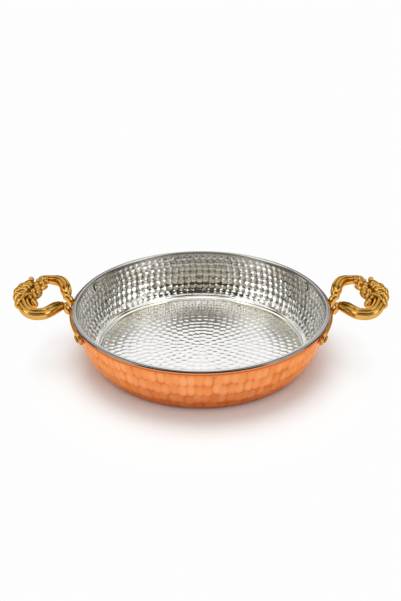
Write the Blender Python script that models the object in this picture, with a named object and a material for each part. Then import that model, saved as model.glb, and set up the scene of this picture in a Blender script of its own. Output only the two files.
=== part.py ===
"""Hammered copper pan with two cast brass shell handles, riveted on.

Metres, +Z up, origin on the table under the middle of the pan, handles along X.
"""

from math import atan2, cos, pi, radians, sin, sqrt

import bmesh
import bpy
from mathutils import Matrix, Vector

# Pan
RIM_RADIUS = 0.100  # to the outer edge of the lip
PAN_HEIGHT = 0.042
WALL = 0.003
WALL_LEAN = radians(14.0)  # from upright, opening upwards
STRAIGHT_WALL = 0.0218  # slant length of the straight part under the rim
SIDE_RADIUS = 0.04375  # outside, where the wall turns in to the base
BASE_CORNER_RADIUS = 0.006
FLOOR_FILLET_RADIUS = 0.006  # inside, where the wall meets the floor
LIP_WIDTH = 0.0036
LIP_DEPTH = 0.0018
LIP_ROUND = 0.0004
BAND_DEPTH = 0.0034  # smooth band from the rim down to the incised line
LINE_WIDTH = 0.0007
LINE_DEPTH = 0.0003
PAN_STEPS = 84

# Clearance between pieces that touch
GAP = 0.0003

# Mounting strap, cast in one with the handle
STRAP_THICKNESS = 0.0024
STRAP_HEIGHT = 0.0110
STRAP_TOP = 0.0024  # slant distance below the rim
STRAP_CHAMFER = 0.0009
RIVET_ANGLE = radians(25.0)  # either side of the handle's middle

# Rivets
RIVET_RADIUS = 0.0020
RIVET_HEAD_RADIUS = 0.0034
RIVET_HEAD_HEIGHT = 0.0015
RIVET_PEEN_RADIUS = 0.0039  # flattened end inside the pan
RIVET_PEEN_HEIGHT = 0.0008
PEEN_FLAT = 0.75  # share of the inner end's radius that is flat
PEEN_SHOULDER = 0.4  # share of its height where the rounding starts
RIVET_STEPS = 16

# Handle loop: distances outward from the rim, sideways from its middle and up from the rim
LEG_OUT = 0.0040
LEG_SPREAD = 0.0077
LEG_RISE = 0.0012
LEG_FOOT_DROP = 0.0072  # the legs' feet lie this far below the rim, on the strap
LOOP_OUT = 0.0380  # to the centre line of the loop's outer end
LOOP_SPREAD = 0.0295  # half the width between the arms' centre lines
LOOP_RISE = 0.0054  # where the arms are widest
WIDEST = 0.57  # share of the way out where the arms are widest
LOOP_END_RISE = 0.0082  # at the outer end, under the shell
ARM_RADIUS = 0.0044
ARM_END_RADIUS = 0.0051  # the front arm swells where it runs into the shell
NECK_RADIUS = 0.0029
COLLAR_RADIUS = 0.0035
COLLAR_WIDTH = 0.0028
NECK_END = 0.8  # the neck fills out to the arm between these, in collar widths past the collar
ARM_START = 2.4
SWELL_START = 0.55  # the arm's outer swelling, in shares of its length
SWELL_END = 0.8
TIP_SHARE = 0.25  # of the radius that is left at the arm's very end

# Section of an arm: angles run from the loop's outside over the top
INNER_ROLL = 0.0012  # how far the thin inner roll stands out from the arm
ROLL_AT = radians(172)
ROLL_NARROWNESS = 6
ARM_GROOVE = 0.0010
GROOVE_AT = radians(122)
GROOVE_NARROWNESS = 8

# Shell over the loop's outer end
SHELL_RIBS = 5
SHELL_REACH = 0.0070  # from the loop's centre line out to the tip of the middle rib
SHELL_ROOT = 0.0030  # from the loop's centre line in to the ribs' inner ends
SHELL_CURVE = 0.0019  # each rib's tip steps back by this, times its count from the middle squared
SHELL_DROOP = 0.0005  # and down by this
SHELL_PITCH = 0.0101  # between the ribs' tips
SHELL_ROOT_PITCH = 0.0050  # between the ribs' inner ends
SHELL_LIFT = 0.0020  # middle rib over the loop's centre line
RIB_HALF_HEIGHT = 0.0039
RIB_OVERLAP = 1.04  # ribs are this much wider than their pitch
RIB_END = 0.25  # of the half height, added to a rib at each end
RIDGE_RADIUS = 0.0013  # the raised line from the front edge over the shell to the lobe
RIDGE_SPACING = 0.0030
RIDGE_POINTS = 6

SHARP_ANGLE = radians(48)
SECTION_POINTS = 12
RING_SPACING = 0.0024  # between the rings of a swept arm
FINE_STEPS = 24  # between two guide points, before even spacing
CORNER_STEPS = 4
SIDE_STEPS = 5
STRAP_STEPS = 10  # stations in half a strap


def clear_scene():
    for item in list(bpy.data.objects):
        bpy.data.objects.remove(item, do_unlink=True)


def material(name, colour, metallic, roughness):
    made = bpy.data.materials.new(name)
    made.use_nodes = True
    shader = made.node_tree.nodes["Principled BSDF"]
    shader.inputs["Base Color"].default_value = (*colour, 1.0)
    shader.inputs["Metallic"].default_value = metallic
    shader.inputs["Roughness"].default_value = roughness
    return made


def add_object(name, mesh, finish=None):
    made = bpy.data.objects.new(name, mesh)
    bpy.context.scene.collection.objects.link(made)
    if finish:
        mesh.materials.append(finish)
    return made


def mesh_from(name, bm):
    bmesh.ops.recalc_face_normals(bm, faces=bm.faces)
    mesh = bpy.data.meshes.new(name)
    bm.to_mesh(mesh)
    bm.free()
    return smoothed(mesh)


def smoothed(mesh):
    mesh.shade_smooth()
    mesh.set_sharp_from_angle(angle=SHARP_ANGLE)
    return mesh


def helper(name, mesh):
    """A cutter or an added shape, which is no piece of its own."""
    made = add_object(name, mesh)
    made.hide_render = True
    made.display_type = "WIRE"
    return made


def arc(centre, radius, start, end, steps):
    """Points on an arc in the profile plane, from angle start to angle end."""
    turns = [start + (end - start) * i / steps for i in range(steps + 1)]
    return [(centre[0] + radius * cos(t), centre[1] + radius * sin(t)) for t in turns]


def revolve(profile, steps):
    """A closed solid turned about Z. The profile starts and ends on the axis."""
    bm = bmesh.new()
    rings = []
    for radius, height in profile:
        if radius < 1e-6:
            rings.append([bm.verts.new((0, 0, height))])
            continue
        turns = [2 * pi * i / steps for i in range(steps)]
        rings.append([bm.verts.new((radius * cos(t), radius * sin(t), height)) for t in turns])
    for low, high in zip(rings, rings[1:]):
        for i in range(steps):
            j = (i + 1) % steps
            corners = [low[i % len(low)], low[j % len(low)], high[j % len(high)], high[i % len(high)]]
            bm.faces.new(list(dict.fromkeys(corners)))
    return bm


# The pan's section: a straight wall, a side arc and a corner arc down to the base.


def side_centre():
    slope_in = STRAIGHT_WALL * sin(WALL_LEAN) + SIDE_RADIUS * cos(WALL_LEAN)
    slope_down = STRAIGHT_WALL * cos(WALL_LEAN) - SIDE_RADIUS * sin(WALL_LEAN)
    return RIM_RADIUS - slope_in, PAN_HEIGHT - slope_down


def corner_centre(side, radius, floor):
    """Centre of an arc that runs from the side arc of radius side into a floor."""
    x, z = side_centre()
    height = floor + radius
    return x + sqrt((side - radius) ** 2 - (z - height) ** 2), height


def turned_side(side, corner, floor):
    """Bottom corner and side arc, from the floor up to the straight wall."""
    centre = side_centre()
    small = corner_centre(side, corner, floor)
    meet = atan2(small[1] - centre[1], small[0] - centre[0])
    rounding = arc(small, corner, -pi / 2, meet, CORNER_STEPS)
    return rounding + arc(centre, side, meet, -WALL_LEAN, SIDE_STEPS)[1:]


def wall_point(down, out):
    """Radius and height of a point down the wall's slant and out from its face."""
    radius = RIM_RADIUS - down * sin(WALL_LEAN) + out * cos(WALL_LEAN)
    return radius, PAN_HEIGHT - down * cos(WALL_LEAN) - out * sin(WALL_LEAN)


def pan_profile():
    inner_lip = RIM_RADIUS - LIP_WIDTH
    line_top = BAND_DEPTH - LINE_WIDTH / 2
    line_end = BAND_DEPTH + LINE_WIDTH / 2
    outside = [(0, 0)] + turned_side(SIDE_RADIUS, BASE_CORNER_RADIUS, 0)
    outside += [wall_point(line_end, 0), wall_point(BAND_DEPTH, -LINE_DEPTH), wall_point(line_top, 0)]
    rim = [
        (RIM_RADIUS - LIP_ROUND * sin(WALL_LEAN), PAN_HEIGHT - LIP_ROUND),
        (RIM_RADIUS - LIP_ROUND, PAN_HEIGHT),
        (inner_lip + LIP_ROUND, PAN_HEIGHT),
        (inner_lip, PAN_HEIGHT - LIP_ROUND),
        (inner_lip - (LIP_DEPTH - LIP_ROUND) * sin(WALL_LEAN), PAN_HEIGHT - LIP_DEPTH),
    ]
    inside = turned_side(SIDE_RADIUS - WALL, FLOOR_FILLET_RADIUS, WALL)
    foot_of_lip = LIP_DEPTH + WALL * sin(WALL_LEAN) + 2 * (LIP_WIDTH - WALL)
    inside.append(wall_point(foot_of_lip, -WALL))
    return outside + rim + inside[::-1] + [(0, WALL)]


def rivet_places():
    places = {}
    for side, middle in (("left", pi), ("right", 0.0)):
        for end, turn in (("front", -RIVET_ANGLE), ("back", RIVET_ANGLE)):
            places[f"{side}_{end}"] = middle + (turn if side == "right" else -turn)
    return places


def rivet_frame(azimuth):
    """Placement on the wall's outer face: Z points out along the wall's normal."""
    down = STRAP_TOP + STRAP_HEIGHT / 2
    radius, height = wall_point(down, 0)
    out = Matrix.Rotation(azimuth, 4, "Z") @ Matrix.Rotation(pi / 2 + WALL_LEAN, 4, "Y")
    out.translation = (radius * cos(azimuth), radius * sin(azimuth), height)
    return out


def rivet_hole_cutters():
    """Clearance holes for the four shanks, right through strap and wall."""
    reach = WALL + STRAP_THICKNESS + 4 * RIVET_HEAD_HEIGHT
    radius = RIVET_RADIUS + GAP
    profile = [(0, -reach), (radius, -reach), (radius, reach), (0, reach)]
    mesh = mesh_from("rivet_hole", revolve(profile, RIVET_STEPS))
    cutters = []
    for place, azimuth in rivet_places().items():
        cutter = helper(f"hole_{place}", mesh)
        cutter.matrix_world = rivet_frame(azimuth)
        cutters.append(cutter)
    return cutters


def cut(piece, cutters):
    for cutter in cutters:
        step = piece.modifiers.new(cutter.name, "BOOLEAN")
        step.operation = "DIFFERENCE"
        step.object = cutter


def make_pan(finish, cutters):
    pan = add_object("pan_body", mesh_from("pan_body", revolve(pan_profile(), PAN_STEPS)), finish)
    cut(pan, cutters)


def make_rivets(finish):
    seat = STRAP_THICKNESS + 2 * GAP
    inside = -WALL - GAP
    dome = [
        (RIVET_HEAD_RADIUS * cos(t), seat + RIVET_HEAD_HEIGHT * sin(t))
        for t in (radians(a) for a in (0, 22, 45, 68))
    ]
    profile = [(0, inside - RIVET_PEEN_HEIGHT)]
    profile.append((RIVET_PEEN_RADIUS * PEEN_FLAT, inside - RIVET_PEEN_HEIGHT))
    profile.append((RIVET_PEEN_RADIUS, inside - RIVET_PEEN_HEIGHT * PEEN_SHOULDER))
    profile.append((RIVET_PEEN_RADIUS, inside))
    profile += [(RIVET_RADIUS, inside), (RIVET_RADIUS, seat)]
    profile += dome + [(0, seat + RIVET_HEAD_HEIGHT)]
    mesh = mesh_from("rivet", revolve(profile, RIVET_STEPS))
    mesh.materials.append(finish)
    for place, azimuth in rivet_places().items():
        rivet = add_object(f"rivet_{place}", mesh)
        rivet.matrix_world = rivet_frame(azimuth)


# The strap: a stadium outline wrapped round the wall.


def strap_point(along, down, out):
    """A point of the strap, by arc length, slant distance and distance from its back."""
    radius, height = wall_point(down, GAP + out)
    middle, _ = wall_point(STRAP_TOP + STRAP_HEIGHT / 2, 0)
    turn = along / middle
    return Vector((radius * cos(turn), radius * sin(turn), height))


def make_strap():
    half = STRAP_HEIGHT / 2
    middle, _ = wall_point(STRAP_TOP + half, 0)
    straight = middle * RIVET_ANGLE
    stations = [(straight * i / STRAP_STEPS, half) for i in range(STRAP_STEPS + 1)]
    for degrees in (25, 50, 68, 82):
        turn = radians(degrees)
        stations.append((straight + half * sin(turn), half * cos(turn)))
    stations = [(-s, h) for s, h in stations[:0:-1]] + stations
    bm = bmesh.new()
    rings = []
    for along, height in stations:
        inset = min(STRAP_CHAMFER, height * 0.5)
        face = STRAP_THICKNESS
        outline = [
            (-height, 0),
            (-height, face - inset),
            (-height + inset, face),
            (height - inset, face),
            (height, face - inset),
            (height, 0),
        ]
        ring = [bm.verts.new(strap_point(along, STRAP_TOP + half + w, t)) for w, t in outline]
        rings.append(ring)
    bridge(bm, rings)
    return mesh_from("strap", bm)


def bridge(bm, rings):
    """Closed skin over a row of rings, with both ends capped."""
    for first, second in zip(rings, rings[1:]):
        count = len(first)
        for i in range(count):
            j = (i + 1) % count
            bm.faces.new((first[i], first[j], second[j], second[i]))
    bm.faces.new(rings[0])
    bm.faces.new(rings[-1][::-1])


# The loop: two arms that leave the strap side by side, arch over the rim and swing apart. The front
# arm sweeps round under the shell, the back one ends in a scroll.


def over_rim(out, side, up):
    """A point by its distance outward from the rim, sideways and up."""
    return Vector((RIM_RADIUS + out, side, PAN_HEIGHT + up))


def arm_guides():
    """Guide points shared by both arms, from the foot on the strap to the widest place."""
    radius, height = wall_point(LEG_FOOT_DROP, GAP + NECK_RADIUS + GAP)
    foot = Vector((radius * cos(LEG_SPREAD / radius), LEG_SPREAD, height))
    shape = [  # shares of the way outward, sideways and up
        (0.00, 0.00, 0.00),
        (0.02, 0.12, 0.20),
        (0.055, 0.24, 0.45),
        (0.115, 0.46, 0.90),
        (0.22, 0.71, 1.12),
        (0.34, 0.90, 1.03),
        (0.465, 0.98, 0.95),
        (WIDEST, 1.00, 1.00),
    ]
    return [foot] + [arm_point(*shares) for shares in shape]


def arm_point(outward, sideways, upward):
    out = LEG_OUT + (LOOP_OUT - LEG_OUT) * outward
    side = LEG_SPREAD + (LOOP_SPREAD - LEG_SPREAD) * sideways
    return over_rim(out, side, LEG_RISE + (LOOP_RISE - LEG_RISE) * upward)


def end_point(outward, sideways):
    """A point of the outer half, which climbs steadily from the widest place to the shell."""
    point = arm_point(outward, sideways, 1.0)
    climb = (outward - WIDEST) / (1.0 - WIDEST)
    point.z += (LOOP_END_RISE - LOOP_RISE) * climb
    return point


def front_guides():
    ending = [(0.67, 0.96), (0.745, 0.87), (0.82, 0.69), (0.885, 0.44), (0.93, 0.14), (0.95, -0.20)]
    return arm_guides() + [end_point(*shares) for shares in ending]


def back_guides():
    ending = [(0.67, 0.97), (0.74, 0.91)]
    return arm_guides() + [end_point(*shares) for shares in ending]


def smooth_path(guides, spacing):
    """Evenly spaced points on a Catmull-Rom curve through the guides, with their lengths."""
    first = guides[0] * 2 - guides[1]
    last = guides[-1] * 2 - guides[-2]
    points = [first] + guides + [last]
    fine = []
    for a, b, c, d in zip(points, points[1:], points[2:], points[3:]):
        for step in range(FINE_STEPS):
            t = step / FINE_STEPS
            line = (2 * b) + (c - a) * t + (2 * a - 5 * b + 4 * c - d) * t**2
            fine.append((line + (3 * b - a - 3 * c + d) * t**3) * 0.5)
    fine.append(guides[-1])
    lengths = [0.0]
    for a, b in zip(fine, fine[1:]):
        lengths.append(lengths[-1] + (b - a).length)
    count = round(lengths[-1] / spacing)
    path = []
    k = 0
    for i in range(count + 1):
        wanted = lengths[-1] * i / count
        while lengths[k + 1] < wanted and k + 2 < len(lengths):
            k += 1
        share = (wanted - lengths[k]) / (lengths[k + 1] - lengths[k])
        path.append((fine[k].lerp(fine[k + 1], share), wanted))
    return path


def ease(value, start, end):
    """Smooth step from 0 at start to 1 at end."""
    t = min(max((value - start) / (end - start), 0.0), 1.0)
    return t * t * (3 - 2 * t)


def round_end(left, radius):
    """Share of the radius at that distance from a rounded tip."""
    near = min(left, radius)
    return max(TIP_SHARE, sqrt(1 - (1 - near / radius) ** 2))


def arm_radius(angle, done, total, end_radius):
    """Distance of the skin from the path. Angle 0 points out of the loop, 90 degrees up."""
    collar_at = LEG_FOOT_DROP + LEG_RISE
    collar = max(0.0, 1 - abs(done - collar_at) / COLLAR_WIDTH)
    neck = NECK_RADIUS + (COLLAR_RADIUS - NECK_RADIUS) * collar
    full = ease(done, collar_at + NECK_END * COLLAR_WIDTH, collar_at + ARM_START * COLLAR_WIDTH)
    swell = ease(done, SWELL_START * total, SWELL_END * total)
    base = neck + (ARM_RADIUS - neck) * full + (end_radius - ARM_RADIUS) * swell
    roll = max(0.0, cos(angle - ROLL_AT)) ** ROLL_NARROWNESS
    groove = max(0.0, cos(angle - GROOVE_AT)) ** GROOVE_NARROWNESS
    return round_end(total - done, base) * (base + full * (INNER_ROLL * roll - ARM_GROOVE * groove))


def section_up(tangent):
    """Up as far as the path lies flat; where it climbs the wall, towards the pan's middle."""
    flat = 1 - tangent.z**2
    up = Vector((flat - 1, 0, flat))
    return (up - tangent * up.dot(tangent)).normalized()


def sweep(guides, radius_at, spacing=RING_SPACING, section=SECTION_POINTS):
    """Skin round a smooth path, with its section kept upright."""
    path = smooth_path(guides, spacing)
    total = path[-1][1]
    bm = bmesh.new()
    rings = []
    for i, (point, done) in enumerate(path):
        ahead = path[min(i + 1, len(path) - 1)][0]
        behind = path[max(i - 1, 0)][0]
        tangent = (ahead - behind).normalized()
        up = section_up(tangent)
        out = tangent.cross(up)
        ring = []
        for k in range(section):
            angle = 2 * pi * k / section
            distance = radius_at(angle, done, total)
            ring.append(bm.verts.new(point + (out * cos(angle) + up * sin(angle)) * distance))
        rings.append(ring)
    bridge(bm, rings)
    return bm


def flipped(guides):
    return [Vector((p.x, -p.y, p.z)) for p in guides]


def make_arms():
    def front(angle, done, total):
        return arm_radius(angle, done, total, ARM_END_RADIUS)

    def back(angle, done, total):
        return arm_radius(pi - angle, done, total, ARM_RADIUS)

    sweeping = mesh_from("front_arm", sweep(flipped(front_guides()), front))
    scroll = mesh_from("back_arm", sweep(back_guides(), back))
    return sweeping, helper("back_arm", scroll)


# Ribs, beads, scrolls and the inward lobe of the shell, as swollen round forms.


def blob(name, centre, sizes, turn=0.0):
    """A round form: half sizes along its turned reach, across and up."""
    bm = bmesh.new()
    bmesh.ops.create_uvsphere(bm, u_segments=10, v_segments=6, radius=1.0)
    place = Matrix.Translation(centre) @ Matrix.Rotation(turn, 4, "Z")
    bmesh.ops.transform(bm, matrix=place @ Matrix.Diagonal((*sizes, 1.0)), verts=bm.verts)
    return helper(name, mesh_from(name, bm))


def over_end(out, side, up):
    """A point by its place from the middle of the loop's outer end."""
    return over_rim(LOOP_OUT + out, side, LOOP_END_RISE + up)


def shell_ribs():
    made = []
    for i in range(SHELL_RIBS):
        place = i - (SHELL_RIBS - 1) / 2
        lift = SHELL_LIFT - SHELL_DROOP * place**2
        root = over_end(-SHELL_ROOT, SHELL_ROOT_PITCH * place, lift)
        tip = over_end(SHELL_REACH - SHELL_CURVE * place**2, SHELL_PITCH * place, lift)
        along = tip - root
        sizes = (
            along.length / 2 + RIB_HALF_HEIGHT * RIB_END,
            SHELL_PITCH * RIB_OVERLAP / 2,
            RIB_HALF_HEIGHT,
        )
        made.append(blob(f"rib_{i + 1}", (root + tip) / 2, sizes, atan2(along.y, along.x)))
    return made


def make_ridge():
    """The raised line that starts beside the last rib, crosses the shell and runs down the lobe."""
    places = [
        (-0.0005, -0.0215, 0.0014),
        (-0.0035, -0.0150, 0.0040),
        (-0.0070, -0.0104, 0.0040),
        (-0.0104, -0.0104, 0.0024),
        (-0.0126, -0.0086, 0.0002),
    ]

    def radius_at(_, done, total):
        return RIDGE_RADIUS * round_end(min(done, total - done), RIDGE_RADIUS)

    guides = [over_end(*place) for place in places]
    return helper("ridge", mesh_from("ridge", sweep(guides, radius_at, RIDGE_SPACING, RIDGE_POINTS)))


def make_ornament():
    """Forms by place from the loop's outer end, half sizes and turn."""
    bead = 0.0023
    forms = [
        ("saddle", (-0.0070, 0.0000, -0.0004), (0.0080, 0.0120, 0.0036), 0),
        ("lobe", (-0.0118, -0.0020, -0.0004), (0.0052, 0.0072, 0.0042), 0),
        ("lobe_bead_back", (-0.0118, -0.0005, 0.0026), (bead, bead, bead), 0),
        ("lobe_bead_front", (-0.0109, -0.0062, 0.0023), (bead, bead, bead), 0),
        ("knob", (-0.0030, 0.0212, 0.0006), (0.0029, 0.0029, 0.0032), 0),
        ("stem", (-0.0045, 0.0165, -0.0002), (0.0022, 0.0055, 0.0026), -20),
        ("bead", (-0.0078, 0.0217, -0.0004), (bead, bead, 0.0026), 0),
        ("scale_high", (-0.0115, 0.0174, -0.0006), (0.0032, 0.0036, 0.0032), -30),
        ("scale_low", (-0.0140, 0.0200, -0.0012), (0.0028, 0.0034, 0.0030), -40),
        ("fringe", (-0.0155, 0.0160, -0.0030), (0.0020, 0.0056, 0.0022), 40),
        ("back_bar", (-0.0070, 0.0165, -0.0024), (0.0040, 0.0110, 0.0030), 30),
        ("leaf", (-0.0102, -0.0128, -0.0022), (0.0036, 0.0066, 0.0040), -35),
    ]
    made = [blob(name, over_end(*place), sizes, radians(turn)) for name, place, sizes, turn in forms]
    return made + shell_ribs() + [make_ridge()]


def mirrored(mesh):
    made = mesh.copy()
    made.transform(Matrix.Diagonal((-1.0, 1.0, 1.0, 1.0)))
    made.flip_normals()
    return made


def make_handles(finish, cutters):
    ornament = bpy.data.collections.new("handle_ornament")
    front_arm, back_arm = make_arms()
    for form in make_ornament() + [back_arm, helper("strap", make_strap())]:
        ornament.objects.link(form)
    right = add_object("handle_right", front_arm, finish)
    join = right.modifiers.new("casting", "BOOLEAN")
    join.operation = "UNION"
    join.operand_type = "COLLECTION"
    join.collection = ornament
    join.solver = "EXACT"
    bpy.context.view_layer.update()
    seen = right.evaluated_get(bpy.context.evaluated_depsgraph_get())
    casting = smoothed(bpy.data.meshes.new_from_object(seen))
    right.modifiers.clear()
    right.data = casting
    left = add_object("handle_left", mirrored(casting))
    cut(right, [c for c in cutters if "right" in c.name])
    cut(left, [c for c in cutters if "left" in c.name])


def main():
    clear_scene()
    copper = material("hammered_copper", (0.78, 0.32, 0.14), 1.0, 0.28)
    brass = material("polished_brass", (0.83, 0.53, 0.12), 1.0, 0.16)
    rivet_brass = material("rivet_brass", (0.74, 0.46, 0.14), 1.0, 0.25)
    cutters = rivet_hole_cutters()
    make_pan(copper, cutters)
    make_handles(brass, cutters)
    make_rivets(rivet_brass)


main()
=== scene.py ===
from functools import reduce
from math import atan2, ceil, cos, pi, radians, sin, sqrt

import bmesh
import bpy
import numpy as np
from mathutils import Matrix, Vector


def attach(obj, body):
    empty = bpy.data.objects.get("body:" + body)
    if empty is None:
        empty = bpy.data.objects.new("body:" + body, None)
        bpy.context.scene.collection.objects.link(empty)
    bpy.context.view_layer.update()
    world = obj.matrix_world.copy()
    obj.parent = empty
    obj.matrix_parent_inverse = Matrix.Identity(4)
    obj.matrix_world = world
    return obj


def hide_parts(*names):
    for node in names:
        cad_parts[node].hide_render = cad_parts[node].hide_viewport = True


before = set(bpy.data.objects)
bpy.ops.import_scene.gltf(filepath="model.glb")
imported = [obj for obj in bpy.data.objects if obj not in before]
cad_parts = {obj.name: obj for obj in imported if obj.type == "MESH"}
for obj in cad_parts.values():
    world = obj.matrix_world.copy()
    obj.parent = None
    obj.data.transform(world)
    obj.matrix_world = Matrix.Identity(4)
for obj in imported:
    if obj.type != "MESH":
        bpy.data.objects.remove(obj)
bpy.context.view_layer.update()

scene = bpy.context.scene
print("frame loaded:", ", ".join(sorted(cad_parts)))


# Small helpers for node trees

def feed(tree, socket, value):
    if isinstance(value, bpy.types.NodeSocket):
        tree.links.new(value, socket)
    else:
        socket.default_value = value


def addNode(tree, kind, inputs=None, **settings):
    made = tree.nodes.new(kind)
    for name, value in settings.items():
        setattr(made, name, value)
    for socket, value in (inputs or {}).items():
        feed(tree, made.inputs[socket], value)
    return made


def maths(tree, operation, *values, clamp=False):
    made = addNode(tree, "ShaderNodeMath", operation=operation, use_clamp=clamp)
    for socket, value in zip(made.inputs, values):
        feed(tree, socket, value)
    return made.outputs[0]


# Plus, minus, times and over for one tree, each of two values or more
def sums(tree):
    def sumOf(operation):
        return lambda *values: reduce(lambda a, b: maths(tree, operation, a, b), values)

    return [sumOf(operation) for operation in ("ADD", "SUBTRACT", "MULTIPLY", "DIVIDE")]


def vectorMaths(tree, operation, inputs, output=0):
    return addNode(tree, "ShaderNodeVectorMath", inputs, operation=operation).outputs[output]


def remap(tree, value, low, high, toLow=0.0, toHigh=1.0):
    made = addNode(tree, "ShaderNodeMapRange", {0: value, 1: low, 2: high, 3: toLow, 4: toHigh})
    return made.outputs[0]


def mixed(tree, share, first, second):
    return addNode(tree, "ShaderNodeMix", {0: share, 6: first, 7: second}, data_type="RGBA").outputs[2]


# Named inputs, each given as its first value or, where it has none, as its kind of socket
def addInputs(tree, inputs):
    kinds = {int: "NodeSocketInt", float: "NodeSocketFloat", tuple: "NodeSocketColor"}
    for name, value in inputs.items():
        kind = kinds.get(type(value), value)
        made = tree.interface.new_socket(name, in_out="INPUT", socket_type=kind)
        if kind != value:
            made.default_value = value


# A tree that makes a mesh from a drawing, its own values and a finish
def geometryTree(name, values):
    tree = bpy.data.node_groups.new(name, "GeometryNodeTree")
    addInputs(tree, {"Drawing": "NodeSocketGeometry", **values, "Finish": "NodeSocketMaterial"})
    tree.interface.new_socket("Mesh", in_out="OUTPUT", socket_type="NodeSocketGeometry")
    return tree, tree.nodes.new("NodeGroupInput").outputs


def closeTree(tree, geometry, finish):
    real = addNode(tree, "GeometryNodeRealizeInstances", {"Geometry": geometry}).outputs[0]
    dressed = addNode(tree, "GeometryNodeSetMaterial", {"Geometry": real, "Material": finish})
    addNode(tree, "NodeGroupOutput", {"Mesh": dressed.outputs[0]})
    return tree


def combined(tree, x, y, z):
    return addNode(tree, "ShaderNodeCombineXYZ", {"X": x, "Y": y, "Z": z}).outputs[0]


def moved(tree, geometry, vector, socket="Position"):
    return addNode(tree, "GeometryNodeSetPosition", {"Geometry": geometry, socket: vector}).outputs[0]


def merged(tree, geometry):
    return addNode(tree, "GeometryNodeMergeByDistance", {"Geometry": geometry, "Distance": 2e-6}).outputs[0]


def named(tree, name):
    return addNode(tree, "GeometryNodeInputNamedAttribute", {"Name": name}, data_type="FLOAT").outputs[0]


def stored(tree, geometry, columns):
    for name, value in columns.items():
        geometry = addNode(tree, "GeometryNodeStoreNamedAttribute", {
            "Geometry": geometry, "Name": name, "Value": value,
        }, data_type="FLOAT", domain="POINT").outputs[0]
    return geometry


def addObject(name, mesh):
    made = bpy.data.objects.new(name, mesh)
    scene.collection.objects.link(made)
    return made


# Leaves what the modifiers make as a plain mesh
def settle(piece):
    bpy.context.view_layer.update()
    seen = piece.evaluated_get(bpy.context.evaluated_depsgraph_get())
    mesh = bpy.data.meshes.new_from_object(seen)
    piece.modifiers.clear()
    piece.data = mesh


# Runs a tree on a drawing; of the values, it takes those that its inputs are named for
def grow(name, drawing, tree, values):
    made = addObject(name, drawing)
    step = made.modifiers.new("make", "NODES")
    step.node_group = tree
    for item in tree.interface.items_tree:
        if item.item_type == "SOCKET" and item.in_out == "INPUT" and item.name in values:
            step[item.identifier] = values[item.name]
    settle(made)
    return made


# Materials: one group gives every metal its clouds, fine grain, paler marks with a painted highlight, and
# painted shade in hollows and seams

def metalFinishGroup():
    tree = bpy.data.node_groups.new("metalFinish", "ShaderNodeTree")
    plus, minus, times, over = sums(tree)
    addInputs(tree, {
        "Clean Colour": (0.8, 0.8, 0.8, 1),
        "Pale Colour": (0.9, 0.9, 0.9, 1),
        "Tarnish And Shade Colour": (0.3, 0.3, 0.3, 1),
        "Tone And Highlight": 0.0,
        "Shade": 0.0,
        "Cloud Size": 0.02,
        "Cloud Amount": 0.3,
        "Grain Size": 0.0006,
        "Smoothest": 0.15,
        "Roughest": 0.35,
    })
    start = tree.nodes.new("NodeGroupInput").outputs
    place = tree.nodes.new("ShaderNodeTexCoord").outputs["Object"]

    def noise(size, detail, roughness):
        return addNode(tree, "ShaderNodeTexNoise", {
            "Vector": place, "Scale": over(1.0, size), "Detail": detail, "Roughness": roughness,
        }).outputs[0]

    cloud = noise(start["Cloud Size"], 3.0, 0.55)
    grain = noise(start["Grain Size"], 2.0, 0.6)
    # Random clouds of tarnish and the painted shade of hollows, seams and dark lines both darken the metal
    # towards one colour
    clouded = times(remap(tree, cloud, 0.35, 0.75), start["Cloud Amount"])
    tarnishAndShade = maths(tree, "MAXIMUM", clouded, start["Shade"], clamp=True)
    marked = mixed(tree, start["Tone And Highlight"], start["Clean Colour"], start["Pale Colour"])
    coarse, fine = 0.6, 0.4  # shares of cloud, or of tarnish and painted shade, and of grain
    worn = plus(times(tarnishAndShade, coarse), times(grain, fine))
    spread = minus(start["Roughest"], start["Smoothest"])
    made = {
        "Colour": mixed(tree, tarnishAndShade, marked, start["Tarnish And Shade Colour"]),
        "Roughness": maths(tree, "MULTIPLY_ADD", worn, spread, start["Smoothest"]),
        "Height": maths(tree, "MULTIPLY_ADD", cloud, coarse, times(grain, fine)),
    }
    for name in made:
        kind = "NodeSocketColor" if name == "Colour" else "NodeSocketFloat"
        tree.interface.new_socket(name, in_out="OUTPUT", socket_type=kind)
    addNode(tree, "NodeGroupOutput", made)
    return tree


metalFinish = metalFinishGroup()


# Reads the mesh's own attributes: shade is painted shade that darkens the metal in hollows and seams, and
# tone is a paler tone at random per mark, brightest at the mark's middle as a painted highlight
def metal(name, edge, bump, finish):
    made = bpy.data.materials.new(name)
    made.use_nodes = True
    tree = made.node_tree
    shader = tree.nodes["Principled BSDF"]
    shader.inputs["Metallic"].default_value = 1.0
    shader.inputs["Specular Tint"].default_value = (*edge, 1)
    group = addNode(tree, "ShaderNodeGroup", node_tree=metalFinish)
    for socket, value in finish.items():
        group.inputs[socket].default_value = (*value, 1) if isinstance(value, tuple) else value
    for socket in ("Shade", "Tone And Highlight"):
        read = addNode(tree, "ShaderNodeAttribute", attribute_name=socket.lower())
        tree.links.new(read.outputs["Fac"], group.inputs[socket])
    tree.links.new(group.outputs["Colour"], shader.inputs["Base Color"])
    tree.links.new(group.outputs["Roughness"], shader.inputs["Roughness"])
    raised = addNode(tree, "ShaderNodeBump", {
        "Strength": bump,
        "Distance": 0.001,
        "Height": group.outputs["Height"],
    })
    tree.links.new(raised.outputs["Normal"], shader.inputs["Normal"])
    return made


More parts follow.
